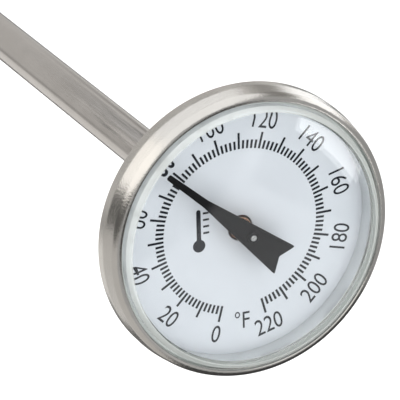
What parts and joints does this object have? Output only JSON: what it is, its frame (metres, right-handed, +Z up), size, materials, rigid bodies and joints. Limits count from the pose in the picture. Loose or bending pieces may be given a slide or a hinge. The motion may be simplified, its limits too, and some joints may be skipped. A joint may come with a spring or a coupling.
{
  "type": "meat thermometer",
  "caption": "Bimetal meat thermometer: round steel dial head under a domed lens, black pointer, hexagon calibration nut and a long thin pointed stem.",
  "frame": {"origin": "tip of the stem, which is what goes into the food", "axes": "+Z up the stem and out through the dial, +Y from the dial's centre towards its 110 degree mark (12 o'clock), which is also square to one flat of the nut"},
  "size_m": [0.0282, 0.0282, 0.136],
  "materials": {
    "satin_steel": "bead-blasted satin stainless steel",
    "brushed_steel": "fine brushed stainless steel, drawn along the stem",
    "case_steel": "drawn stainless sheet, semi-bright",
    "polished_steel": "polished stainless steel",
    "spring_steel": "tempered spring steel",
    "bimetal": "rolled two-metal strip",
    "bearing_bronze": "turned copper-coloured bronze",
    "dial_white": "white enamel with black printed scale and numbers",
    "pointer_black": "matt black paint",
    "seal_rubber": "matt black rubber",
    "clear_silicone": "cloudy clear silicone",
    "clear_lens": "clear moulded lens, glossy"
  },
  "bodies": {
    "stem": {"stem_tip": "brushed_steel", "stem_tube": "brushed_steel", "coil_anchor": "brushed_steel", "bimetal_coil": "bimetal", "lower_shaft_guide": "bearing_bronze", "upper_shaft_guide": "bearing_bronze", "top_bearing": "bearing_bronze", "stem_bushing": "case_steel", "calibration_nut": "brushed_steel"},
    "head": {"case_cup": "case_steel", "bezel_ring": "satin_steel", "lens": "clear_lens", "lens_gasket": "clear_silicone", "spacer_ring": "polished_steel", "dial_plate": "dial_white", "stem_seal": "seal_rubber", "friction_washer": "spring_steel"},
    "pointer": {"pointer_shaft": "polished_steel", "coil_collar": "bearing_bronze", "pointer_hub": "bearing_bronze", "pointer_cap": "pointer_black", "pointer_plate": "pointer_black"}
  },
  "joints": [
    {"name": "calibration_turn", "type": "hinge", "parent": "stem", "child": "head", "pos_m": [0, 0, 0.127], "axis": [0, 0, 1], "continuous": true},
    {"name": "pointer_turn", "type": "hinge", "parent": "stem", "child": "pointer", "pos_m": [0, 0, 0.1339], "axis": [0, 0, -1], "range_deg": [-117, 213], "stiffness_Nm_per_rad": 0.0004, "deforming": ["bimetal_coil"]}
  ]
}
